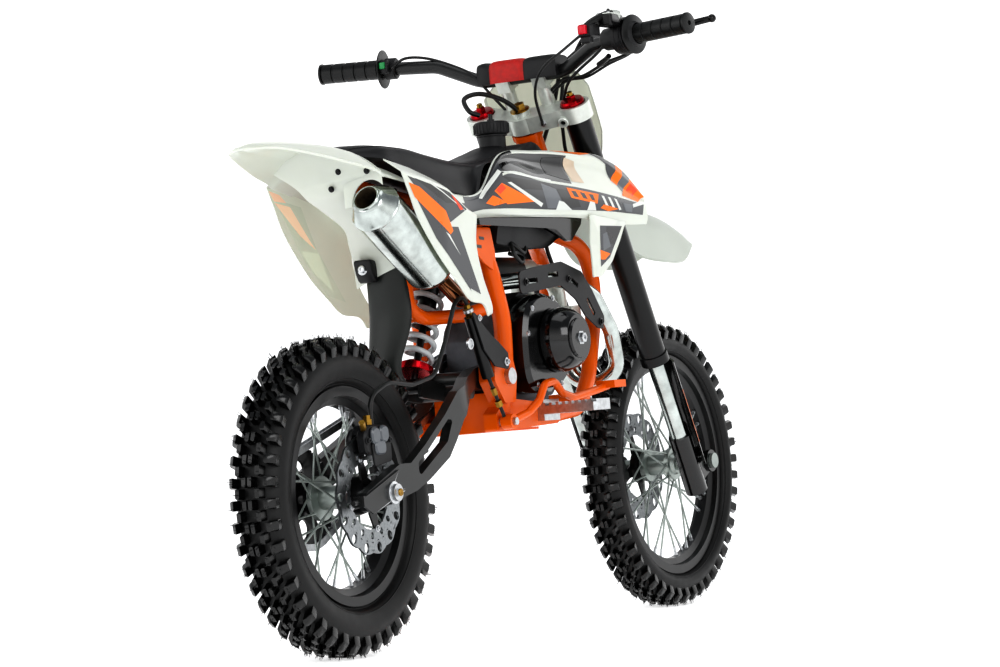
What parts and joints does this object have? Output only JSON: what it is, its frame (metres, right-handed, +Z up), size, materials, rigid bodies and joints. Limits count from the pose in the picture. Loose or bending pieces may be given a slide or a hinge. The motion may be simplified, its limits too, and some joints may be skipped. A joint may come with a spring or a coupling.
{
  "type": "dirt bike",
  "caption": "Small off-road motorcycle leaning on its side stand, with knobbly spoked wheels, upside-down fork, high side panels and an upswept silencer.",
  "frame": {"origin": "centre of the bounding box, on the ground", "axes": "+X forward, +Y to the rider's left, +Z up; the bike leans 5.4 degrees to the left about X"},
  "size_m": [1.553, 0.7278, 1.0089],
  "materials": {
    "frame_paint": "glossy orange powder coat",
    "black_paint": "satin black paint",
    "wheel_paint": "gloss black paint",
    "zinc": "bright zinc plate",
    "disc_steel": "ground stainless steel",
    "chrome": "polished",
    "alloy": "bead blasted",
    "dark_case": "cast, grey",
    "black_alloy": "black anodised",
    "tyre": "moulded, matt",
    "rubber": "matt",
    "white_plastic": "semi-gloss, milky",
    "black_plastic": "grained",
    "gloss_black": "glossy",
    "seat_cover": "grained vinyl cover",
    "spring_grey": "light grey powder coat",
    "red_pad": "woven cover",
    "hose": "satin"
  },
  "bodies": {
    "frame": {"frame": "frame_paint", "subframe": "frame_paint", "swingarm": "black_paint", "pivot_pins": "zinc", "axle_rear": "zinc", "chain": "zinc", "shock": "zinc", "spring": "spring_grey", "engine_case": "dark_case", "clutch_case": "black_paint", "clutch_drum": "gloss_black", "cylinder": "alloy", "carburettor": "alloy", "air_filter": "rubber", "exhaust_pipe": "chrome", "silencer": "chrome", "heat_shield": "black_plastic", "fuel_tank": "black_plastic", "tank_cap": "black_plastic", "seat": "seat_cover", "shroud_right": "white_plastic", "shroud_left": "white_plastic", "side_panel_right": "white_plastic", "side_panel_left": "white_plastic", "rear_fender": "white_plastic", "mud_flap": "black_plastic", "footpegs": "zinc", "brake_pedal": "frame_paint", "rear_master_cylinder": "alloy", "heel_guard": "black_plastic", "caliper_rear": "black_alloy", "brake_hose_rear": "hose"},
    "steering": {"lower_clamp": "alloy", "upper_clamp": "alloy", "fork_uppers": "black_alloy", "fork_stanchions": "chrome", "fork_lugs": "alloy", "fork_guards": "black_plastic", "axle_front": "zinc", "caliper_front": "black_alloy", "handlebar": "black_paint", "bar_pad": "red_pad", "grips": "rubber", "bar_controls": "black_alloy", "number_plate": "white_plastic", "fender_front": "white_plastic", "bar_hoses": "hose"},
    "front_wheel": {"tyre_front": "tyre", "rim_front": "wheel_paint", "hub_front": "zinc", "disc_front": "disc_steel"},
    "rear_wheel": {"tyre_rear": "tyre", "rim_rear": "wheel_paint", "hub_rear": "zinc", "disc_rear": "disc_steel", "sprocket_rear": "zinc"},
    "side_stand": {"side_stand": "black_paint"}
  },
  "joints": [
    {"name": "steering", "type": "hinge", "parent": "frame", "child": "steering", "pos_m": [0.45946, -0.05731, 0.20745], "axis": [-0.454, 0.0839, 0.8871], "range_deg": [-33, 33]},
    {"name": "front_wheel_spin", "type": "hinge", "parent": "steering", "child": "front_wheel", "pos_m": [0.53253, -0.0538, 0.24452], "axis": [0, 0.9956, -0.0941], "continuous": true},
    {"name": "rear_wheel_spin", "type": "hinge", "parent": "frame", "child": "rear_wheel", "pos_m": [-0.53747, -0.05415, 0.24082], "axis": [0, 0.9956, -0.0941], "continuous": true},
    {"name": "stand_fold", "type": "hinge", "parent": "frame", "child": "side_stand", "pos_m": [-0.10547, 0.06857, 0.32776], "axis": [0, 0.9631, 0.2691], "range_deg": [0, 92]}
  ]
}
